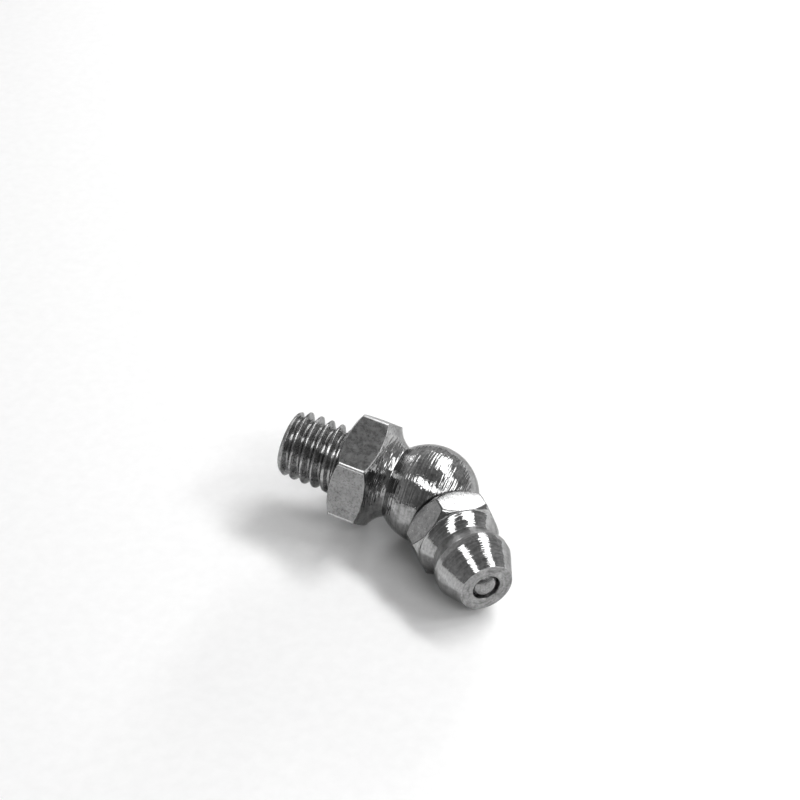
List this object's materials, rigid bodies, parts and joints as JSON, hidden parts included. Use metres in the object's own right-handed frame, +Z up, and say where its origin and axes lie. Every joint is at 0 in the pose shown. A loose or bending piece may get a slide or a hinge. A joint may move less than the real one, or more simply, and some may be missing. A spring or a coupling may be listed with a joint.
{
  "type": "grease nipple",
  "caption": "Elbow grease nipple: threaded shank, hexagon and ball, with a hexagon collar and coupler cone set at 45 degrees and a spring-loaded check ball in its mouth.",
  "frame": {"origin": "centre of the bounding box's underside, on the surface the nipple lies on", "axes": "+Z up; +X below the thread's axis, towards the thread's end; the head points to -X and +Y"},
  "size_m": [0.0234, 0.0148, 0.0105],
  "materials": {
    "body": "bright plated, fine turning marks",
    "head": "bright plated, fine turning marks",
    "ball": "polished",
    "spring": "drawn wire"
  },
  "bodies": {
    "fitting": {"elbow_body": "body", "nipple_head": "head", "valve_spring": "spring"},
    "valve": {"check_ball": "ball"}
  },
  "joints": [
    {"name": "check_ball_slide", "type": "slide", "parent": "fitting", "child": "valve", "axis": [0.7017, -0.7067, 0.0905], "range_m": [0, 0.001], "stiffness_N_per_m": 3980, "springref_m": -0.0001, "deforming": ["valve_spring"]}
  ]
}
